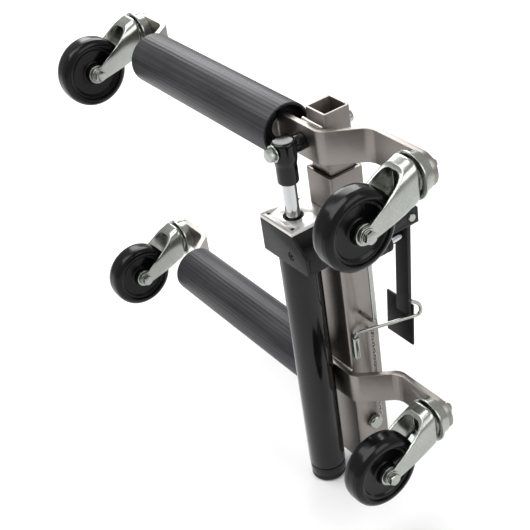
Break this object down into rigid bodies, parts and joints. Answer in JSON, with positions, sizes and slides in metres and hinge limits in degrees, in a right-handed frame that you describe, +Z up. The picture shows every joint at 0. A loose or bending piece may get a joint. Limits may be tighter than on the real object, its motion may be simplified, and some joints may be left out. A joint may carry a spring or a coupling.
{
  "type": "wheel dolly",
  "caption": "Hydraulic wheel dolly standing upright: telescopic square tube, bent arms with long rollers, swivel casters, foot pump and ram.",
  "frame": {"origin": "centre of the underside of the ram cylinder, where the storage rack socket holds the dolly", "axes": "+Z up along the telescopic tube; +X from the far casters along the rollers to the tube end; -Y towards the side that faces the ground when the dolly is in use"},
  "size_m": [0.67, 0.212, 0.56],
  "materials": {
    "tube_steel": "satin silver",
    "bright_steel": "bright satin",
    "zinc": "bright zinc plate",
    "chrome": "polished",
    "satin_black": "satin",
    "gloss_black": "gloss",
    "wheel_black": "gloss",
    "roller_charcoal": "ribbed, dark coated",
    "nylon": "matte"
  },
  "bodies": {
    "frame": {"outer_tube": "tube_steel", "guide_liner": "nylon", "lower_arm": "tube_steel", "lower_axle": "tube_steel", "lower_far_bracket": "tube_steel", "lower_near_kingpin": "zinc", "lower_far_kingpin": "zinc", "cylinder_tube": "gloss_black", "cylinder_cap": "satin_black", "pump_block": "satin_black", "pump_face_plate": "satin_black", "pump_plate": "bright_steel", "rod_gland": "satin_black", "pump_barrel": "satin_black", "pedal_pin": "zinc", "valve_body": "satin_black", "keeper_sleeve": "zinc", "chain_eyelet": "zinc", "keeper_chain": "zinc"},
    "carriage": {"inner_tube": "tube_steel", "tube_boss": "zinc", "upper_arm": "tube_steel", "arm_spacer": "tube_steel", "upper_axle": "tube_steel", "upper_far_bracket": "tube_steel", "upper_near_kingpin": "zinc", "upper_far_kingpin": "zinc", "piston": "tube_steel", "ram_rod": "chrome", "rod_end": "satin_black", "cross_bolt": "zinc"},
    "upper_roller": {"upper_roller": "roller_charcoal", "upper_roller_bush_near": "nylon", "upper_roller_bush_far": "nylon"},
    "lower_roller": {"lower_roller": "roller_charcoal", "lower_roller_bush_near": "nylon", "lower_roller_bush_far": "nylon"},
    "upper_near_swivel": {"upper_near_fork": "zinc", "upper_near_axle_bolt": "zinc", "upper_near_axle_nut": "zinc"},
    "upper_near_wheel": {"upper_near_wheel": "wheel_black"},
    "upper_far_swivel": {"upper_far_fork": "zinc", "upper_far_axle_bolt": "zinc", "upper_far_axle_nut": "zinc"},
    "upper_far_wheel": {"upper_far_wheel": "wheel_black"},
    "lower_near_swivel": {"lower_near_fork": "zinc", "lower_near_axle_bolt": "zinc", "lower_near_axle_nut": "zinc"},
    "lower_near_wheel": {"lower_near_wheel": "wheel_black"},
    "lower_far_swivel": {"lower_far_fork": "zinc", "lower_far_axle_bolt": "zinc", "lower_far_axle_nut": "zinc"},
    "lower_far_wheel": {"lower_far_wheel": "wheel_black"},
    "pedal": {"pedal_lever": "satin_black", "pedal_plate": "satin_black"},
    "plunger": {"pump_plunger": "chrome"},
    "release": {"release_rod": "zinc"},
    "keeper": {"pedal_keeper": "zinc"},
    "lock_pin": {"lock_pin": "zinc"}
  },
  "joints": [
    {"name": "frame_slide", "type": "slide", "parent": "frame", "child": "carriage", "axis": [0, 0, 1], "range_m": [-0.015, 0.225]},
    {"name": "upper_roller_spin", "type": "hinge", "parent": "carriage", "child": "upper_roller", "pos_m": [-0.194, 0.0307, 0.522], "axis": [1, 0, 0], "continuous": true},
    {"name": "lower_roller_spin", "type": "hinge", "parent": "frame", "child": "lower_roller", "pos_m": [-0.194, 0.0307, 0.16], "axis": [1, 0, 0], "continuous": true},
    {"name": "upper_near_swivel_turn", "type": "hinge", "parent": "carriage", "child": "upper_near_swivel", "pos_m": [0.156, 0.06, 0.522], "axis": [0, 1, 0], "continuous": true},
    {"name": "upper_near_wheel_spin", "type": "hinge", "parent": "upper_near_swivel", "child": "upper_near_wheel", "pos_m": [0.156, -0.023, 0.492], "axis": [1, 0, 0], "continuous": true},
    {"name": "upper_far_swivel_turn", "type": "hinge", "parent": "carriage", "child": "upper_far_swivel", "pos_m": [-0.451, 0.06, 0.522], "axis": [0, 1, 0], "continuous": true},
    {"name": "upper_far_wheel_spin", "type": "hinge", "parent": "upper_far_swivel", "child": "upper_far_wheel", "pos_m": [-0.451, -0.023, 0.492], "axis": [1, 0, 0], "continuous": true},
    {"name": "lower_near_swivel_turn", "type": "hinge", "parent": "frame", "child": "lower_near_swivel", "pos_m": [0.156, 0.06, 0.16], "axis": [0, 1, 0], "continuous": true},
    {"name": "lower_near_wheel_spin", "type": "hinge", "parent": "lower_near_swivel", "child": "lower_near_wheel", "pos_m": [0.156, -0.023, 0.13], "axis": [1, 0, 0], "continuous": true},
    {"name": "lower_far_swivel_turn", "type": "hinge", "parent": "frame", "child": "lower_far_swivel", "pos_m": [-0.451, 0.06, 0.16], "axis": [0, 1, 0], "continuous": true},
    {"name": "lower_far_wheel_spin", "type": "hinge", "parent": "lower_far_swivel", "child": "lower_far_wheel", "pos_m": [-0.451, -0.023, 0.13], "axis": [1, 0, 0], "continuous": true},
    {"name": "pedal_hinge", "type": "hinge", "parent": "frame", "child": "pedal", "pos_m": [0.051, 0.128, 0.395], "axis": [1, 0, 0], "range_deg": [0, 50]},
    {"name": "plunger_slide", "type": "slide", "parent": "frame", "child": "plunger", "axis": [0, 1, 0], "range_m": [0, 0.018]},
    {"name": "release_turn", "type": "hinge", "parent": "frame", "child": "release", "pos_m": [0.066, 0.058, 0.3], "axis": [0, 0, 1], "range_deg": [0, 110]},
    {"name": "keeper_turn", "type": "hinge", "parent": "frame", "child": "keeper", "pos_m": [0.0425, 0.041, 0.24], "axis": [0, 0, -1], "range_deg": [0, 100]},
    {"name": "lock_pin_slide", "type": "slide", "parent": "frame", "child": "lock_pin", "axis": [1, 0, 0], "range_m": [0, 0.06]}
  ],
  "couplings": [
    {"joint": "plunger_slide", "follows": "pedal_hinge", "m_per_rad": 0.0206}
  ]
}
